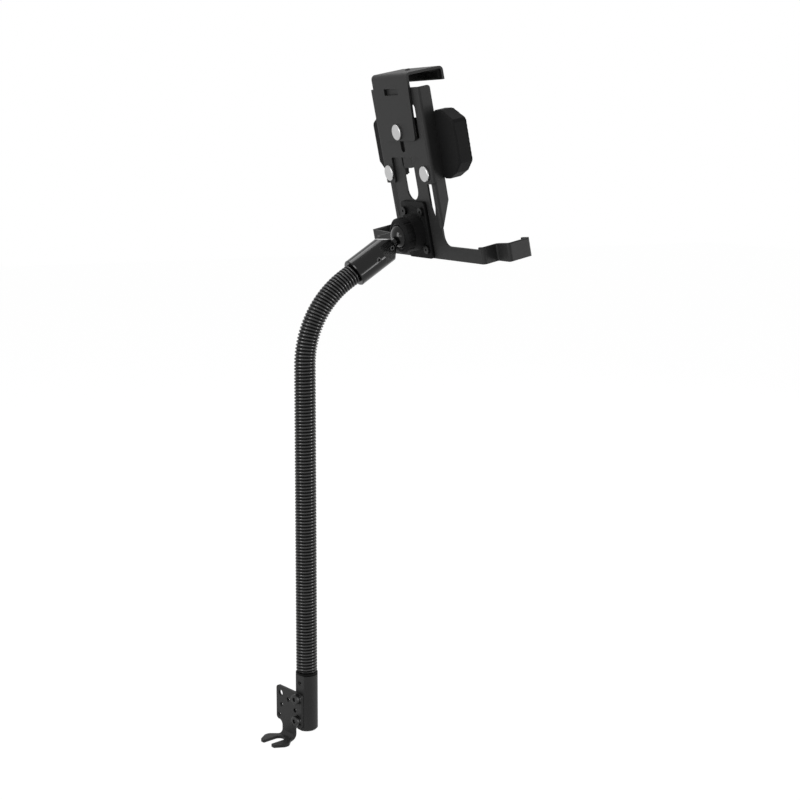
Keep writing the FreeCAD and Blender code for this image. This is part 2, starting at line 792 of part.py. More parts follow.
def corner_hook(sign):
    half = frame_sheet / 2
    arm_end = hook_foot_end(sign)
    step = arm_end + hook_foot
    wall = hook_half - half
    line = [
        (arm_end, frame_back + half), (step, frame_back + half), (step, hook_back + half),
        (wall, hook_back + half), (wall, hook_front - half), (wall - hook_lip, hook_front - half),
    ]
    body = prism(folded(line, frame_sheet, frame_bend), top, tray_bottom, hook_top)
    face = [
        (arm_end, tray_bottom), (hook_half, tray_bottom, hook_corner), (hook_half, hook_top, hook_corner),
        (arm_end, hook_inner_top),
    ]
    body = body.common(prism(face, front, 0, hook_front + over))
    ledge = rectangle(wall - hook_ledge, wall, hook_back + half, hook_front - half, hook_corner / 2)
    body = body.fuse(prism(ledge, top, tray_bottom, tray_bottom + frame_sheet)).removeSplitter()
    return in_cradle(handed(body, sign))


def tray_pad(sign):
    """A rubber liner on the hook's ledge and side wall."""
    half = pad_thickness / 2
    clear = frame_sheet + frame_bend
    floor = tray_bottom + frame_sheet + seat_gap + half
    wall = hook_half - frame_sheet - seat_gap - half
    inner = hook_half - frame_sheet / 2 - hook_ledge + pad_edge
    line = [(inner, floor), (wall, floor), (wall, hook_top - 2 * pad_edge)]
    body = prism(folded(line, pad_thickness, pad_bend), front, hook_back + clear, hook_front - clear)
    return in_cradle(handed(body, sign))


def upper_frame():
    body = channel(upper_half, frame_sheet, 0, ear_depth, upper_bottom, upper_top)
    face = mirrored([
        (upper_half, upper_top), (upper_half, upper_bottom, upper_corner),
        (window_half, upper_bottom, upper_corner), (window_half, window_top, window_corner),
    ])
    body = body.common(prism(face, front, -over, ear_depth + over))
    flange = [
        (frame_sheet, upper_bottom - over), (frame_sheet, upper_bottom), (upper_flange, upper_flange_bottom, ear_corner),
        (upper_flange, ear_bottom, 1.0), (ear_depth, ear_bottom, ear_corner), (ear_depth, ear_top, ear_corner),
        (upper_flange, ear_top, 1.0), (upper_flange, upper_top, ear_corner), (-over, upper_top),
        (-over, upper_bottom - over),
    ]
    body = body.common(prism(flange, side, -upper_half - over, upper_half + over))
    cuts = [prism(slot_outline(0, 2 * guide_slot_half, guide_slot_bottom, guide_slot_top), front, -over, 2 * frame_sheet)]
    for sign in (1, -1):
        slot = slot_outline(sign * light_slot_place, light_slot_width, light_slot_bottom, light_slot_top)
        cuts.append(prism(slot, front, -over, 2 * frame_sheet))
        u = sign * side_slot_place
        start = V(u, -over, frame_clamp_height)
        cuts.append(cylinder(clamp_shank_radius + screw_gap, start, V(u, 2 * frame_sheet, frame_clamp_height)))
        for w in wing_screw_heights:
            start = V(sign * (upper_half - frame_sheet - over), wing_screw_depth, w)
            end = V(sign * (upper_half + over), wing_screw_depth, w)
            cuts.append(cylinder(wing_screw_radius + screw_gap, start, end))
    return in_cradle(body.cut(cuts).removeSplitter())


def clamp_screw(u, w, back, end):
    """A screw with a broad flat head behind the given face, and a shank to the given depth."""
    face = back - seat_gap
    edge = clamp_head_radius - clamp_head_chamfer
    head = lathe([
        (0, 0), (clamp_head_radius, 0), (clamp_head_radius, clamp_head_height - clamp_head_chamfer),
        (edge, clamp_head_height), (0, clamp_head_height),
    ])
    head = placed(head, FreeCAD.Placement(V(u, face, w), FreeCAD.Rotation(V(1, 0, 0), 90)))
    return in_cradle(head.fuse(cylinder(clamp_shank_radius, V(u, face, w), V(u, end, w))))


def frame_clamp_washer(u):
    start = V(u, frame_front + sheet_gap, frame_clamp_height)
    end = start + V(0, clamp_washer_height, 0)
    return in_cradle(cylinder(clamp_washer_radius, start, end).cut(
        cylinder(clamp_shank_radius + screw_gap, start, end)))


def frame_clamp_nut(u):
    start = V(u, frame_nut_face, frame_clamp_height)
    end = start + V(0, clamp_nut_height, 0)
    nut = prism(hexagon(clamp_nut_radius, u, frame_clamp_height), front, start.y, end.y)
    return in_cradle(nut.cut(cylinder(clamp_shank_radius + screw_gap, start, end)))


def top_jaw():
    half = jaw_sheet / 2
    line = [
        (jaw_back + half, jaw_bottom), (jaw_back + half, jaw_top - half), (jaw_front - half, jaw_top - half),
        (jaw_front - half, jaw_lip_bottom),
    ]
    body = prism(folded(line, jaw_sheet, jaw_bend), side, -jaw_half, jaw_half)
    face = mirrored([
        (jaw_half, jaw_top + over), (jaw_half, jaw_lip_bottom), (jaw_foot_half, jaw_bottom, jaw_corner),
    ])
    body = body.common(prism(face, front, jaw_back - over, jaw_front + over))
    slot = rectangle(-jaw_slot_half, jaw_slot_half, jaw_slot_bottom, jaw_slot_bottom + jaw_slot_height, jaw_slot_corner)
    body = body.cut(prism(slot, front, jaw_back - over, 0))
    start = V(0, jaw_back - over, jaw_clamp_height)
    body = body.cut(cylinder(clamp_shank_radius + screw_gap, start, V(0, 0, jaw_clamp_height)))
    return in_cradle(body.removeSplitter())


def jaw_pad():
    """A rubber liner under the jaw's arm and behind its lip."""
    half = pad_thickness / 2
    roof = jaw_top - jaw_sheet - seat_gap - half
    wall = jaw_front - jaw_sheet - seat_gap - half
    line = [(jaw_pad_back, roof), (wall, roof), (wall, jaw_lip_bottom + pad_edge)]
    reach = jaw_half - jaw_pad_margin
    return in_cradle(prism(folded(line, pad_thickness, pad_bend), side, -reach, reach))


def jaw_rivet():
    foot = V(0, rivet_place, jaw_top + seat_gap)
    return in_cradle(Part.makeCone(rivet_radius, rivet_top_radius, rivet_height, foot, V(0, 0, 1)))


def jaw_nut_bar():
    start = frame_sheet + seat_gap
    end = start + nut_bar_thickness
    bar = rectangle(-nut_bar_half, nut_bar_half, jaw_clamp_height - nut_bar_below, jaw_clamp_height + nut_bar_above,
                    nut_bar_corner)
    hole = cylinder(clamp_shank_radius + screw_gap, V(0, start - over, jaw_clamp_height),
                    V(0, end + over, jaw_clamp_height))
    return in_cradle(prism(bar, front, start, end).cut(hole))


def wing_corners(inset, inner):
    """The wing's outline from its inner side, moved in by the inset."""
    points = [V(upper_half + seat_gap + u, ear_bottom + w, 0) for u, w in wing_outline]
    first = V(inner, points[0].y, 0)
    last = V(inner, points[-1].y, 0)
    path = [first] + points + [last]
    corners = [(inner, first.y - inset)]
    for before, here, after in zip(path, path[1:], path[2:]):
        to_before = (before - here).normalize()
        to_after = (after - here).normalize()
        half = to_before.getAngle(to_after) / 2
        place = here + (to_before + to_after).normalize() * (inset / math.sin(half))
        corners.append((place.x, place.y, max(wing_corner - inset, 0)))
    corners.append((inner, last.y + inset))
    return corners


def side_wing(sign):
    inner = upper_half + seat_gap
    body = prism(wing_corners(0, inner), front, wing_back, wing_front)
    rim = [e for e in body.Edges if abs(e.BoundBox.YMax - wing_back) < 1e-6 and e.BoundBox.XMax > inner + 1e-6]
    body = body.makeChamfer(wing_edge, rim)
    hollow = wing_corners(wing_wall, inner + wing_inner_wall)
    body = body.cut(prism(hollow, front, wing_back + wing_wall, wing_front + over))
    reach = V(over + wing_screw_length + screw_end_gap, 0, 0)
    for w in wing_screw_heights:
        start = V(inner - over, wing_screw_depth, w)
        body = body.cut(cylinder(wing_screw_radius + screw_gap, start, start + reach))
    return in_cradle(handed(body, sign))


def wing_pad(sign):
    start = wing_front + seat_gap
    body = prism(wing_corners(wing_pad_inset, upper_half + seat_gap), front, start, start + wing_pad_thickness)
    return in_cradle(handed(body, sign))


def wing_screw(sign, w):
    face = upper_half - frame_sheet - seat_gap
    start = V(face - wing_screw_head_height, wing_screw_depth, w)
    head = Part.makeCone(wing_screw_top_radius, wing_screw_head_radius, wing_screw_head_height, start, V(1, 0, 0))
    tip = V(upper_half + wing_screw_length, wing_screw_depth, w)
    body = head.fuse(cylinder(wing_screw_radius, V(face, wing_screw_depth, w), tip))
    return in_cradle(handed(body, sign))


def save(name, shape):
    """Writes one node and prints its size."""
    shape.exportStep("parts/" + name + ".step")
    box = shape.BoundBox
    print(name, shape.isValid(), len(shape.Solids), round(shape.Volume), "x %.1f %.1f y %.1f %.1f z %.1f %.1f" % (
        box.XMin, box.XMax, box.YMin, box.YMax, box.ZMin, box.ZMax))


save("seat_bracket", seat_bracket())
save("post", post())
for place, height in zip(("lower", "upper"), bracket_screw_heights):
    save("bracket_screw_" + place, bracket_screw(height))
    save("bracket_washer_" + place, bracket_washer(height))
save("post_set_screw", post_set_screw())
save("lower_sleeve", lower_sleeve())
save("gooseneck", gooseneck())
save("gooseneck_core", gooseneck_core())
save("upper_ferrule", upper_ferrule())
save("ferrule_set_screw_rear", ferrule_set_screw(hose_screw_place, hose_plug_radius, ferrule_radius))
save("ferrule_set_screw_front", ferrule_set_screw(stud_screw_place, stud_shank_radius, ferrule_flat))
save("ball_stud", ball_stud())
save("ball_seat_front", ball_seat(0, front_seat_angle))
save("ball_seat_rear", ball_seat(rear_seat_start, rear_seat_end))
save("socket_base", socket_base())
save("lock_collar", lock_collar())
for level, w in zip(("lower", "upper"), base_rows):
    for hand, u in (("left", -base_hole_u / 2), ("right", base_hole_u / 2)):
        save("base_screw_" + level + "_" + hand, base_screw(u, w))
        save("base_nut_" + level + "_" + hand, base_nut(u, w))
save("lower_frame", lower_frame())
save("upper_frame", upper_frame())
save("top_jaw", top_jaw())
save("jaw_pad", jaw_pad())
save("jaw_rivet", jaw_rivet())
save("jaw_nut_bar", jaw_nut_bar())
bar_face = frame_sheet + seat_gap + nut_bar_thickness
save("jaw_clamp_screw", clamp_screw(0, jaw_clamp_height, jaw_back, bar_face + clamp_shank_out))
for hand, sign in (("left", -1), ("right", 1)):
    save("corner_hook_" + hand, corner_hook(sign))
    save("tray_pad_" + hand, tray_pad(sign))
    end = frame_nut_face + clamp_nut_height + clamp_shank_out
    save("frame_clamp_screw_" + hand, clamp_screw(sign * side_slot_place, frame_clamp_height, 0, end))
    save("frame_clamp_washer_" + hand, frame_clamp_washer(sign * side_slot_place))
    save("frame_clamp_nut_" + hand, frame_clamp_nut(sign * side_slot_place))
    save("side_wing_" + hand, side_wing(sign))
    save("wing_pad_" + hand, wing_pad(sign))
    for level, w in zip(("lower", "upper"), wing_screw_heights):
        save("wing_screw_" + level + "_" + hand, wing_screw(sign, w))
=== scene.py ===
# %% [markdown]
# # Seat rail mount
# The object is a slim arm for a car: a forked foot goes under a seat bolt, a ribbed gooseneck rises
# from a short post, and a ball joint carries a folded steel cradle. The solids come from the packed
# CAD model. This file gives them their finish and adds the fine shapes that a maker sees close up.

# %% The frame
import json
import math

import bmesh
import bpy
from mathutils import Matrix, Vector, noise


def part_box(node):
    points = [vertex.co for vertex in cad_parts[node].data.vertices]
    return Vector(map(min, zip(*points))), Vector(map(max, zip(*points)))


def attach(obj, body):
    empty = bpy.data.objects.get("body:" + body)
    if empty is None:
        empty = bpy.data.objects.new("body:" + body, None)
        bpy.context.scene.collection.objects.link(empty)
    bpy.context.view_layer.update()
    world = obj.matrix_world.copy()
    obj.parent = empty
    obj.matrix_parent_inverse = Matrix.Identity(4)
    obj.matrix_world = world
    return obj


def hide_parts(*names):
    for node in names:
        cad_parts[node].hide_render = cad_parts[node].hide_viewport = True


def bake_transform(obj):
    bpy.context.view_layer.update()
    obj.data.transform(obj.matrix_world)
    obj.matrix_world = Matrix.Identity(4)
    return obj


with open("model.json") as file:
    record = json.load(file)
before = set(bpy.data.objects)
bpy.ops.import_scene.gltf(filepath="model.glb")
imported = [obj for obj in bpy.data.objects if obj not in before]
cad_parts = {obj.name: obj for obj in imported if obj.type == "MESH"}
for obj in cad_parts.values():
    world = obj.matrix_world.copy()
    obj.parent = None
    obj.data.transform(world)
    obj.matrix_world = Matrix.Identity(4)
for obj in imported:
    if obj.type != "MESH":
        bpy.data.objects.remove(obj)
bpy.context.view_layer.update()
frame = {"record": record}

# %% [markdown]
# ## Where things are
# The added shapes have to sit exactly where the solids do. They could be placed by eye, but here every
# place is worked out from a few real sizes, in metres, and from the boxes of the CAD nodes. The hose rises
# straight, bends forwards through one arc, and runs straight into the ferrule, so a short formula gives
# its centre line at any length. The ball and the cradle follow from its end.

# %% Sizes
MM = 0.001
LEAN = math.radians(12)
SLEEVE_LOW, SLEEVE_HIGH = (Vector(corner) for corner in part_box("lower_sleeve"))
POST = (SLEEVE_LOW + SLEEVE_HIGH) / 2
POST.z = 0
HOSE_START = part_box("gooseneck")[0][2]
HOSE_STRAIGHT = 310.0 * MM
HOSE_BEND = 96.5 * MM
HOSE_TURN = math.radians(57.4)
HOSE_LEAD = 10.4 * MM
BALL_DISTANCE = 67.0 * MM
BALL_TO_CRADLE = 16.3 * MM


def hose_point(s):
    """The hose's centre line at the length s: place and direction."""
    arc = HOSE_BEND * HOSE_TURN
    a = min(max(s - HOSE_STRAIGHT, 0) / HOSE_BEND, HOSE_TURN)
    along = Vector((0, math.sin(a), math.cos(a)))
    height = HOSE_START + min(s, HOSE_STRAIGHT) + HOSE_BEND * math.sin(a)
    place = POST + Vector((0, HOSE_BEND * (1 - math.cos(a)), height))
    return place + along * max(s - HOSE_STRAIGHT - arc, 0), along


HOSE_LENGTH = HOSE_STRAIGHT + HOSE_BEND * HOSE_TURN + HOSE_LEAD
MOUTH, FERRULE_AXIS = hose_point(HOSE_LENGTH)
BALL = MOUTH + FERRULE_AXIS * BALL_DISTANCE
CRADLE = BALL + Vector((0, math.cos(LEAN), math.sin(LEAN))) * BALL_TO_CRADLE
print("hose length", round(HOSE_LENGTH, 4), "ball", [round(c, 4) for c in BALL])

# %% [markdown]
# ## Camera
# The photograph was taken from behind and to the right of the cradle, a little above it, from about 1.4
# metres. A camera set by eye is always a little off, so this one was fitted to known points of the arm. It
# comes first, so that everything after it can be held against the photograph.

# %% Camera
LENS = 63.97
FILM_WIDTH = 36
CAMERA_PLACE = (1.23227, -0.57711, 0.5879)
CAMERA_TURNS = ((59.83, "Z"), (80.06, "X"), (0.33, "Z"))

scene = bpy.context.scene
camera_data = bpy.data.cameras.new("camera")
camera_data.lens = LENS
camera_data.sensor_width = FILM_WIDTH
camera_data.clip_start = 0.01
camera_data.clip_end = 50
camera = bpy.data.objects.new("camera", camera_data)
turn, tip, roll = (Matrix.Rotation(math.radians(angle), 4, axis) for angle, axis in CAMERA_TURNS)
camera.matrix_world = Matrix.Translation(CAMERA_PLACE) @ turn @ tip @ roll
scene.collection.objects.link(camera)
scene.camera = camera
print("camera", round((camera.matrix_world.translation - CRADLE).length, 3), "m from the cradle")

# %% [markdown]
# ## Shader maths
# A finish is arithmetic on patterns: a noise times a number, plus another number. Each step of it is a
# Math node, and placing them one by one hides the sum that they stand for. One small class wraps a node's
# socket instead, so that the sum reads as plain Python and each operator adds its own node.


# %% A socket that takes sums
class Signal:
    """A value, a vector or a shader that flows from one node to the next."""

    def __init__(self, wiring, socket):
        self.wiring = wiring
        self.socket = socket

    def _math(self, operation, first, second):
        return self.wiring.node("ShaderNodeMath", {"operation": operation}, i0=first, i1=second)

    def __add__(self, other):
        return self._math("ADD", self, other)

    def __sub__(self, other):
        return self._math("SUBTRACT", self, other)

    def __rsub__(self, other):
        return self._math("SUBTRACT", other, self)

    def __mul__(self, other):
        return self._math("MULTIPLY", self, other)

    __radd__ = __add__
    __rmul__ = __mul__


print("sums with + - and *")

# %% [markdown]
# ## Any other node
# The rest of Blender's nodes need no operator. One method adds any of them: it takes the node's type, its
# settings, and what goes into its sockets, which is a link or a plain value. Most sockets go by their
# name. Where a node has several of one name, i0 is the first socket from the top, i1 the next.


# %% One method for every node
class Wiring:
    """The nodes of a material or of the world."""

    def __init__(self, tree):
        self.tree = tree

    def feed(self, node, **inputs):
        """Fills a node's sockets. In a name, an underscore stands for a space."""
        for name, value in inputs.items():
            numbered = name[0] == "i" and name[1:].isdigit()
            socket = node.inputs[int(name[1:]) if numbered else name.replace("_", " ")]
            if isinstance(value, Signal):
                self.tree.links.new(value.socket, socket)
            else:
                socket.default_value = value

    def node(self, kind, settings=None, output=0, **inputs):
        """Adds a node, sets it up, fills its sockets, and returns one of its outputs."""
        made = self.tree.nodes.new(kind)
        for name, value in (settings or {}).items():
            setattr(made, name, value)
        self.feed(made, **inputs)
        return Signal(self, made.outputs[output])


print("one method for every node")

# %% [markdown]
# ## A finish
# Real coatings have a base, a gloss and a fine relief. Blender's Principled shader holds all three, so
# each finish of this arm is one such shader, fed by patterns that lie in the object's own space. They
# need no unwrapped surface, and their grain keeps its real size on every piece.


# %% A finish and its patterns
class Finish(Wiring):
    """A material with one Principled shader."""

    def __init__(self, name):
        self.material = bpy.data.materials.new(name)
        self.material.use_nodes = True
        super().__init__(self.material.node_tree)
        self.shader = self.tree.nodes["Principled BSDF"]

    def place(self):
        """Where a point is in the object, in metres."""
        return self.node("ShaderNodeTexCoord", output="Object")

    def noise(self, size, detail=2.0, roughness=0.5, vector=None):
        """Soft random grain, from 0 to 1, with lumps about as large as size, in metres."""
        return self.node("ShaderNodeTexNoise", Vector=vector or self.place(), Scale=1 / size,
                         Detail=detail, Roughness=roughness)

    def blend(self, mask, first, second):
        """Goes from the first colour to the second with the mask."""
        return self.node("ShaderNodeMix", {"data_type": "RGBA"}, output=2, Factor=mask, i6=first, i7=second)

    def bump(self, height, strength, distance):
        """A relief for the Normal socket."""
        return self.node("ShaderNodeBump", Height=height, Strength=strength, Distance=distance)


def grey(level, blue=1.0):
    """A nearly neutral colour."""
    return (level, level, level * blue, 1)


FINISHES = {}
print("white is", grey(1.0))

# %% [markdown]
# ## Powder coat
# The folded steel is powder coated: a satin, almost black skin, a tenth of a millimetre thick, that melts
# smooth but keeps a fine orange peel. Painted textures could show it, and would stretch over the folds.
# Three noises do it in space: one as large as a plate for uneven gloss, one for the peel, one for dust.


# %% Powder coat
def powder_coat():
    finish = Finish("powder_coat")
    drift = finish.noise(35 * MM, 3)
    peel = finish.noise(1.1 * MM)
    dust = finish.noise(0.35 * MM, 1)
    finish.feed(
        finish.shader,
        Base_Color=finish.blend(drift, grey(0.012), grey(0.022)),
        Roughness=0.42 + drift * 0.12 + dust * 0.06,
        Normal=finish.bump(peel + dust * 0.35, strength=0.22, distance=0.06 * MM),
        Specular_IOR_Level=0.2,
    )
    return finish.material


FINISHES["powder_coat"] = powder_coat()
print("finish", FINISHES["powder_coat"].name)

# %% [markdown]
# ## Wound steel of the hose
# The gooseneck is wound from blackened wire, and its crests have a dark metal shine. The winding carries
# an attribute, crest, which is 1 on a crest and 0 in a groove. A short ramp of it drives the colour, the
# metal and the roughness, so they follow the shape: the grooves stay dull and are painted almost black,
# as painted shade in the deep groove between the turns.


# %% Hose steel
def hose_steel():
    finish = Finish("hose_steel")
    drift = finish.noise(20 * MM, 3)
    grain = finish.noise(0.6 * MM)
    crest = finish.node("ShaderNodeAttribute", {"attribute_name": "crest"}, output="Fac")
    # the ramp is 1 on a crest and 0 in a groove; in the colour it paints shade into the grooves
    crest_and_groove_shade = finish.node("ShaderNodeMapRange", Value=crest, From_Min=0.5, From_Max=0.95)
    steel = finish.blend(drift, grey(0.045), grey(0.065))
    finish.feed(
        finish.shader,
        # painted shade: the grooves, where the ramp is 0, get a near-black colour
        Base_Color=finish.blend(crest_and_groove_shade, grey(0.001), steel),
        Metallic=crest_and_groove_shade * 0.9,
        Roughness=0.5 - crest_and_groove_shade * 0.38 + drift * 0.05 + grain * 0.03,
        Normal=finish.bump(grain, strength=0.15, distance=0.04 * MM),
        Specular_IOR_Level=0.1,
    )
    return finish.material


FINISHES["hose_black"] = hose_steel()
print("finish", FINISHES["hose_black"].name)

# %% [markdown]
# ## Gloss black
# The ferrule and the ball stud are turned and then dipped in a gloss black. A clear coat over a nearly
# black base gives the hard, bright streak along the barrel, which one low roughness alone would make too
# even. The dip never dries quite level, and a weak, slow bump shows it.


# %% Gloss black
def gloss_black():
    finish = Finish("gloss_black")
    drift = finish.noise(12 * MM)
    wave = finish.noise(5 * MM)
    finish.feed(
        finish.shader,
        Base_Color=finish.blend(drift, grey(0.002), grey(0.005)),
        Roughness=0.16 + drift * 0.08,
        Coat_Weight=0.4,
        Normal=finish.bump(wave, strength=0.05, distance=0.02 * MM),
        Coat_Roughness=0.09,
        Specular_IOR_Level=0.08,
    )
    return finish.material


FINISHES["gloss_black"] = gloss_black()
print("finish", FINISHES["gloss_black"].name)

# %% [markdown]
# ## Moulded plastic
# The side wings, the socket and the lock collar are moulded in black plastic. The mould has a fine
# spark-eroded grain, which scatters the light and makes them look darker than the steel beside them. The
# grain is far too small to model, so it is a noise in the bump, and a little of it in the roughness.


# %% Moulded plastic
def moulded_plastic(name, level, rough, shine):
    finish = Finish(name)
    drift = finish.noise(30 * MM)
    grain = finish.noise(0.7 * MM, 3, 0.6)
    finish.feed(
        finish.shader,
        Base_Color=finish.blend(drift, grey(level), grey(level * 1.5, 1.05)),
        Roughness=rough + drift * 0.1 + grain * 0.06,
        Normal=finish.bump(grain, strength=0.3, distance=0.06 * MM),
        Specular_IOR_Level=shine,
    )
    return finish.material


FINISHES["moulded_black"] = moulded_plastic("moulded_black", level=0.004, rough=0.55, shine=0.1)
FINISHES["nylon"] = moulded_plastic("dark_nylon", level=0.02, rough=0.4, shine=0.3)
print("finishes so far", len(FINISHES))

# %% [markdown]
# ## Plated steel
# The three clamp screws are plated and ground flat, so they look almost white against the black plates.
# The other screws, nuts and washers are the same steel with a darker plating, and their colour is darkened
# further as painted shade, for the nut bar that shows in shadow through the cradle's window. Grinding leaves
# fine lines in one direction. A noise that is squeezed along one axis gives them, with no texture to draw.

# %% Plated steels
GRIND_SQUEEZE = (1, 1, 14)


def plated_steel(name, level, rough, line):
    finish = Finish(name)
    squeezed = finish.node("ShaderNodeMapping", Vector=finish.place(), Scale=GRIND_SQUEEZE)
    lines = finish.noise(line, vector=squeezed)
    cloud = finish.noise(6 * MM, 3)
    finish.feed(
        finish.shader,
        Base_Color=finish.blend(cloud, grey(level), grey(level * 0.82)),
        Roughness=rough + lines * 0.15,
        Metallic=1.0,
        Normal=finish.bump(lines, strength=0.12, distance=0.04 * MM),
    )
    return finish.material


FINISHES["bright_steel"] = plated_steel("bright_steel", level=0.56, rough=0.26, line=0.9 * MM)
# painted shade: the darker plating is made darker still, to stand in for the shadow on the nut bar
FINISHES["plain_steel"] = plated_steel("dark_plated_steel", level=0.03, rough=0.36, line=1.0 * MM)
FINISHES["zinc_black"] = plated_steel("black_oxide", level=0.045, rough=0.34, line=1.2 * MM)
FINISHES["hose_core"] = plated_steel("core_steel", level=0.30, rough=0.40, line=2.0 * MM)
print("finishes so far", len(FINISHES))

# %% [markdown]
# ## Foam and rubber
# Pads of foam and cellular rubber keep the edges of what the cradle holds from scratches. Their skin is
# matt and full of small open cells. A Voronoi pattern is made of cells, so it suits them better than a
# noise: its middles are the pits, which sink under a weak bump and are painted darker, as painted shade
# inside the open cells.


# %% Liner rubber
def cell_rubber(name, level, cell):
    finish = Finish(name)
    cells = finish.node("ShaderNodeTexVoronoi", Vector=finish.place(), Scale=1 / cell)
    drift = finish.noise(10 * MM, 3)
    skin = finish.blend(drift, grey(level), grey(level * 1.7))
    pit_depth_and_shade = finish.node("ShaderNodeMapRange", Value=cells, From_Max=0.45)
    finish.feed(
        finish.shader,
        # painted shade: the pits are painted darker than the skin
        Base_Color=finish.blend(pit_depth_and_shade, grey(level * 0.4), skin),
        Roughness=0.82 + drift * 0.1,
        Normal=finish.bump(pit_depth_and_shade, strength=0.5, distance=0.12 * MM),
        Specular_IOR_Level=0.12,
    )
    return finish.material


FINISHES["liner_rubber"] = cell_rubber("liner_rubber", level=0.012, cell=0.6 * MM)
print("finishes", sorted(FINISHES))

# %% [markdown]
# ## Pieces that stand for CAD nodes
# A CAD mesh is never changed here. A piece that needs a finer shape gets a new mesh, and the CAD node that
# it stands for is hidden. The record says which finish a node has and which body it moves with, and the new
# piece takes both from there.

# %% Finish and body
SLOT_OF = {part["node"]: part["material_slot"] for part in frame["record"]["subparts"]}
BODY_OF = {node: body for body, nodes in frame["record"]["behaviour"]["bodies"].items() for node in nodes}


def finished(obj, slot):
    """Gives a piece its finish."""
    obj.data.materials.clear()
    obj.data.materials.append(FINISHES[slot])


def stand_in(node, mesh, ending):
    """A new piece with this mesh, which stands for a CAD node and moves as it does."""
    obj = bpy.data.objects.new(node + ending, mesh)
    scene.collection.objects.link(obj)
    finished(obj, SLOT_OF[node])
    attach(obj, BODY_OF[node])
    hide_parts(node)
    return obj


# %% [markdown]
# ## Softened edges
# A sheet that is cut by a laser and then coated has no razor edge: it turns over a third of a millimetre
# and catches a thin line of light. A moulding turns over nearly a whole one. A bump could fake the line, but
# the outline would stay sharp. So each such solid is copied, its flat triangles are joined into clean faces,
# and a small bevel rounds the edges. On sheets the broad faces lead the shading, so that they look flat.

# %% Dressing
SHEET_EDGE = 0.3 * MM
SMALL_EDGE = 0.2 * MM
MOULDED_EDGE = 0.9 * MM
SAME_PLACE = 0.001 * MM
FLAT_ENOUGH = math.radians(0.6)
SHARP_ENOUGH = math.radians(28)


def dressed(node, width, flat=False):
    """A copy of a CAD node with edges softened over a width; flat keeps its broad faces flat."""
    obj = stand_in(node, bpy.data.objects[node].data.copy(), "_skin")
    mesh = bmesh.new()
    mesh.from_mesh(obj.data)
    bmesh.ops.remove_doubles(mesh, verts=mesh.verts, dist=SAME_PLACE)
    bmesh.ops.dissolve_limit(mesh, angle_limit=FLAT_ENOUGH, verts=mesh.verts, edges=mesh.edges)
    for face in mesh.faces:
        face.smooth = True
    mesh.to_mesh(obj.data)
    mesh.free()
    bevel = obj.modifiers.new("edge", "BEVEL")
    bevel.width = width
    bevel.segments = 2
    bevel.limit_method = "ANGLE"
    bevel.angle_limit = SHARP_ENOUGH
    bevel.harden_normals = not flat
    if flat:
        level = obj.modifiers.new("flat_faces", "WEIGHTED_NORMAL")
        level.mode = "FACE_AREA"
        level.weight = 100


SHEETS = ("seat_bracket", "post", "lower_frame", "upper_frame", "top_jaw", "corner_hook_left",
          "corner_hook_right")
SMALL = ("lock_collar", "socket_base", "jaw_clamp_screw", "frame_clamp_screw_left",
         "frame_clamp_screw_right", "bracket_screw_lower", "bracket_screw_upper")
MOULDED = ("side_wing_left", "side_wing_right")
for node in SHEETS:
    dressed(node, SHEET_EDGE, flat=True)
for node in SMALL:
    dressed(node, SMALL_EDGE)
for node in MOULDED:
    dressed(node, MOULDED_EDGE, flat=True)
print("dressed", len(SHEETS) + len(SMALL) + len(MOULDED))

# %% [markdown]
# ## Turned pieces
# The ferrule and the sleeve come off a lathe and have real chamfers, so they need no bevel. Their trouble
# is the shading: a round face of long, thin triangles shows as facets, and smoothing it also bends the
# light over the flats. The axis is known, so each round face takes its shading from there, and the others
# keep their own. This gives the long, straight streaks that a lathe's work has.

# %% Shading from the axis
ROUND_ENOUGH = math.cos(math.radians(13))


def turned(node, point, axis):
    """A copy of a turned CAD node whose round faces shade from its axis and whose flats shade flat."""
    mesh = bpy.data.objects[node].data.copy()
    normals = []
    for face in mesh.polygons:
        slope = face.normal.dot(axis)
        smooth = []
        for index in face.vertices:
            offset = mesh.vertices[index].co - point
            radial = (offset - axis * offset.dot(axis)).normalized()
            smooth.append(radial * math.sqrt(max(1 - slope * slope, 0)) + axis * slope)
        is_round = all(normal.dot(face.normal) > ROUND_ENOUGH for normal in smooth)
        normals += smooth if is_round else [face.normal.copy() for _ in smooth]
    for face in mesh.polygons:
        face.use_smooth = True
    mesh.normals_split_custom_set(normals)
    stand_in(node, mesh, "_turned")


TURNED = {"upper_ferrule": (MOUTH, FERRULE_AXIS), "lower_sleeve": (POST, Vector((0, 0, 1)))}
for node, (point, axis) in TURNED.items():
    turned(node, point, axis)
print("turned", len(TURNED))

# %% [markdown]
# ## Ribs of the gooseneck
# The hose is wound from round wire with a three-cornered wire pressed between its turns, so it shows broad
# round crests with a narrow, deep groove between them. Rings set one above another would be simpler, but
# real turns climb. A short list gives the height of the rib across one turn, and a phase reads it.

# %% Rib profile
CREST = 10.6 * MM
ROOT = 8.8 * MM
RIBS = round(HOSE_LENGTH / (3.15 * MM))
PITCH = HOSE_LENGTH / RIBS
PROFILE = (0.0, 0.82, 0.94, 0.99, 1.0, 0.99, 0.94, 0.82, 0.0, 0.2, 0.2)


def rib_height(phase):
    """How far the winding stands out at a phase of its turn: 0 in the groove, 1 on the crest."""
    step = phase % 1.0 * len(PROFILE)
    low = int(step) % len(PROFILE)
    high = (low + 1) % len(PROFILE)
    share = step - int(step)
    return PROFILE[low] * (1 - share) + PROFILE[high] * share


print("ribs", RIBS, "pitch in mm", round(PITCH / MM, 3))

# %% [markdown]
# ## Winding
# A sheet of points goes round the centre line and along it. Each point's radius comes from the rib profile,
# and the phase turns with the angle round the hose, so that the ribs climb as a helix does. They fade out
# at both ends, where the hose meets the sleeve and the ferrule, and a plain end reaches into the ferrule's
# bore.

# %% Gooseneck
AROUND = 48
PLUG = 9.8 * MM
FERRULE_DEPTH = 29.0 * MM


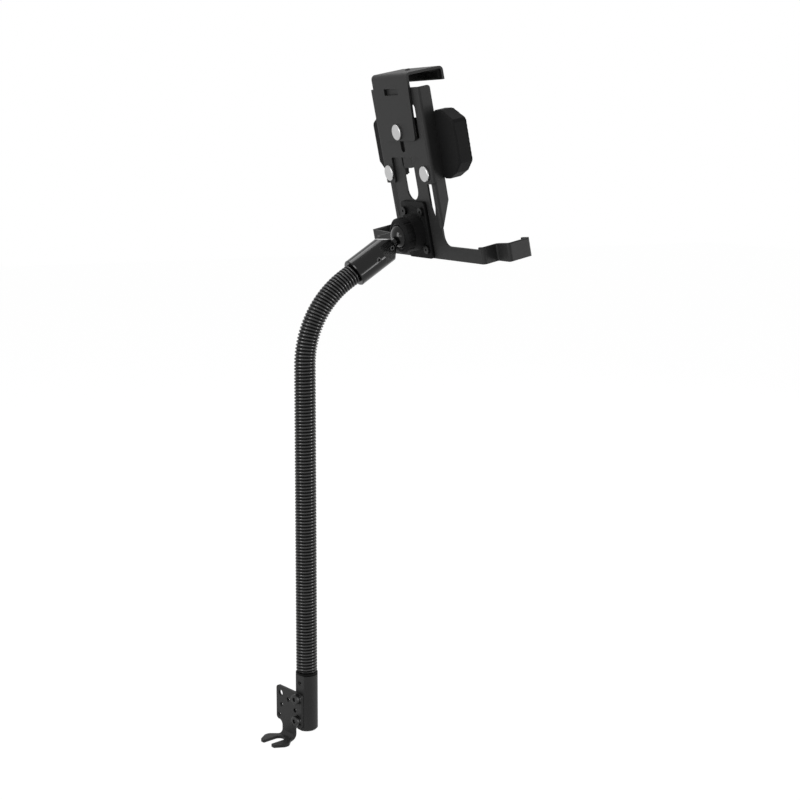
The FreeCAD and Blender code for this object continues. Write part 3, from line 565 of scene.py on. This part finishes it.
def ring(s, radii):
    """The points round the hose at the length s, each at its own radius."""
    place, along = hose_point(s)
    front = along.cross(Vector((1, 0, 0)))
    points = []
    for k, radius in enumerate(radii):
        angle = 2 * math.pi * k / AROUND
        points.append(place + (Vector((1, 0, 0)) * math.cos(angle) + front * math.sin(angle)) * radius)
    return points


def closed_skin(rows):
    """Joins rings of points into one closed skin, as vertices and faces."""
    verts = [point for row in rows for point in row]
    faces = []
    for start in range(0, len(verts) - AROUND, AROUND):
        for k in range(AROUND):
            a, b = start + k, start + (k + 1) % AROUND
            faces.append((a, b, b + AROUND, a + AROUND))
    faces.append(tuple(range(AROUND))[::-1])
    faces.append(tuple(range(len(verts) - AROUND, len(verts))))
    return verts, faces


def gooseneck():
    """The winding, from the sleeve to the ferrule's mouth, and its plain end."""
    rows = []
    heights = []
    count = RIBS * len(PROFILE)
    for i in range(count + 1):
        s = HOSE_LENGTH * i / count
        fade = min(2 * min(s, HOSE_LENGTH - s) / PITCH, 1)
        row = [rib_height(s / PITCH - k / AROUND) * fade for k in range(AROUND)]
        rows.append(ring(s, [ROOT + (CREST - ROOT) * height for height in row]))
        heights += row
    rows.append(ring(HOSE_LENGTH + FERRULE_DEPTH, [PLUG] * AROUND))
    verts, faces = closed_skin(rows)
    mesh = bpy.data.meshes.new("gooseneck_winding")
    mesh.from_pydata(verts, [], faces)
    for face in mesh.polygons:
        face.use_smooth = len(face.vertices) == 4
    crest = mesh.attributes.new("crest", "FLOAT", "POINT")
    crest.data.foreach_set("value", heights + [0.0] * AROUND)
    obj = bpy.data.objects.new("gooseneck_winding", mesh)
    scene.collection.objects.link(obj)
    finished(obj, "hose_black")
    tuple(hose_point(0)[0])
    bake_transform(obj)
    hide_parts("gooseneck", "gooseneck_core")
    return obj


winding = gooseneck()
print("gooseneck faces", len(winding.data.polygons))

# %% [markdown]
# ## Foam and rubber pads
# Each pad is a piece of closed-cell foam or sheet rubber, cut with a blade and glued to its carrier. It is
# too thin and too stiff for a cloth simulation to show anything. What the eye sees is a rim that the blade
# has pulled in, and a face that is never quite level. So the CAD pad is remeshed into small even cells, its
# points are drawn towards their neighbours, which rounds the rim alone, and a slow noise makes it uneven.

# %% Pads
CELL_OF = {
    "wing_pad_left": 0.9 * MM,
    "wing_pad_right": 0.9 * MM,
    "jaw_pad": 0.6 * MM,
    "tray_pad_left": 0.5 * MM,
    "tray_pad_right": 0.5 * MM,
}
ROUNDINGS = 3
LUMP = 6 * MM
LUMP_HEIGHT = 0.08 * MM
SUNK = 0.6


def pad(node, cell):
    """A closed, softened pad in the space of a CAD pad."""
    obj = stand_in(node, bpy.data.objects[node].data.copy(), "_foam")
    cells = obj.modifiers.new("cells", "REMESH")
    cells.mode = "VOXEL"
    cells.voxel_size = cell
    soften = obj.modifiers.new("rounding", "SMOOTH")
    soften.iterations = ROUNDINGS
    soften.factor = 0.5
    mesh = bpy.data.meshes.new_from_object(obj.evaluated_get(bpy.context.evaluated_depsgraph_get()))
    obj.modifiers.clear()
    obj.data = mesh
    finished(obj, SLOT_OF[node])
    for vert in mesh.vertices:
        vert.co += vert.normal * (noise.noise(vert.co / LUMP) - SUNK) * LUMP_HEIGHT
    for face in mesh.polygons:
        face.use_smooth = True
    return obj


for node, cell in CELL_OF.items():
    made = pad(node, cell)
    print(made.name, len(made.data.polygons))

# %% [markdown]
# ## What stays as the CAD made it
# Small fasteners, the ball and the hidden pieces are already right, so they keep their CAD meshes. They only
# get their finish, in the slots that they have.

# %% Finishes for the carried-over nodes
carried = [bpy.data.objects[node] for node in SLOT_OF if not bpy.data.objects[node].hide_render]
for obj in carried:
    for holder in obj.material_slots:
        holder.material = FINISHES[SLOT_OF[obj.name]]
print("carried over", len(carried))

# %% [markdown]
# ## White surroundings
# The photograph is a cut-out on white. Bright lamps would give a white floor, and bleach the black steel
# with it. Here the floor and the world only show as white to the camera, in mirrors and through glass, and
# soft light sees them darker. The kinds of ray that Blender tells apart say which is which.


# %% Rays that see the surroundings
def white_seen(wiring):
    """One for a straight ray, a mirrored ray or a ray through glass, and nought for soft light."""
    seen = wiring.node("ShaderNodeLightPath", output="Is Camera Ray")
    for name in ("Is Glossy Ray", "Is Transmission Ray"):
        ray = wiring.node("ShaderNodeLightPath", output=name)
        seen = wiring.node("ShaderNodeMath", {"operation": "MAXIMUM"}, i0=seen, i1=ray)
    return seen


print("white for camera, mirrored and transmitted rays")

# %% [markdown]
# ## Floor
# The floor is a plain pale sheet. A tenth of it is a real matt surface, which keeps the arm's soft shadow,
# and the rest is the white that the photograph shows.

# %% Floor
FLOOR_HALF = 6
FLOOR_DROP = 0.5 * MM
PALE = 0.9
WHITE_SHARE = 0.9
WHITE_GLOW = 1.08


def studio_white():
    finish = Finish("studio_white")
    finish.feed(finish.shader, Base_Color=grey(PALE), Roughness=0.9)
    matt = Signal(finish, finish.shader.outputs[0])
    glow = finish.node("ShaderNodeEmission", Strength=WHITE_GLOW)
    share = white_seen(finish) * WHITE_SHARE
    mixed = finish.node("ShaderNodeMixShader", i0=share, i1=matt, i2=glow)
    finish.feed(finish.tree.nodes["Material Output"], Surface=mixed)
    return finish.material


floor_mesh = bpy.data.meshes.new("floor")
corners = [(x * FLOOR_HALF, y * FLOOR_HALF, 0) for x, y in ((-1, -1), (1, -1), (1, 1), (-1, 1))]
floor_mesh.from_pydata(corners, [], [(0, 1, 2, 3)])
floor = bpy.data.objects.new("floor", floor_mesh)
floor.location.z = -FLOOR_DROP
scene.collection.objects.link(floor)
floor_mesh.materials.append(studio_white())
print("floor", floor.location.z)

# %% [markdown]
# ## World
# The world is white where it is seen, and a sixth of that as soft light, which is enough to keep the
# shadows open and leaves the rest of the light to the lamps.

# %% World
SOFT_SHARE = 0.16

world = bpy.data.worlds.new("studio")
scene.world = world
world.use_nodes = True
sky = Wiring(world.node_tree)
background = sky.tree.nodes["Background"]
sky.feed(background, Color=grey(1.0), Strength=white_seen(sky) * (1 - SOFT_SHARE) + SOFT_SHARE)
print("soft light from the world", SOFT_SHARE)

# %% [markdown]
# ## Lamps
# Black steel is drawn by what it mirrors, so the lamps are placed for their reflections. A broad one on
# the left and a tall, narrow one on the right put the two bright bands on the hose. A low one on the right
# makes the ferrule's streak, one overhead lights the upper edge of its barrel, and two soft ones fill in
# the foot and the cradle's front. Each is set by its azimuth round the post, as a photographer would.

# %% Lamps
AIM = Vector((CRADLE.x, CRADLE.y, 0.45))
LAMPS = {
    # azimuth in degrees, distance, height, width and height of its face in metres, brightness
    "left_strip": (-84, 1.7, 0.6, 0.6, 1.1, 7.5),
    "left_fill": (-60, 1.9, 0.3, 0.8, 0.55, 2.0),
    "front_softbox": (97, 2.0, 1.0, 0.9, 1.0, 3.2),
    "right_strip": (41, 1.7, 0.6, 0.14, 1.1, 12.0),
    "right_low": (43, 1.7, 0.25, 0.55, 0.4, 8.0),
    "top_softbox": (188, 0.55, 2.1, 0.5, 1.4, 4.5),
}


def softbox(name, azimuth, distance, height, width, tall, glow):
    """A soft lamp that stands round the arm, faces it, and glows at the given level."""
    data = bpy.data.lights.new(name, "AREA")
    data.shape = "RECTANGLE"
    data.size = width
    data.size_y = tall
    data.energy = glow * math.pi * width * tall
    obj = bpy.data.objects.new(name, data)
    angle = math.radians(azimuth)
    obj.location = POST + Vector((distance * math.cos(angle), distance * math.sin(angle), height))
    obj.rotation_euler = (AIM - obj.location).to_track_quat("-Z", "Y").to_euler()
    scene.collection.objects.link(obj)


for name, setting in LAMPS.items():
    softbox(name, *setting)
print("lamps", len(bpy.data.lights))

# %% [markdown]
# ## Wrap up
# The plain view transform shows the colours as they are written.

# %% Wrap up
scene.view_settings.view_transform = "Standard"
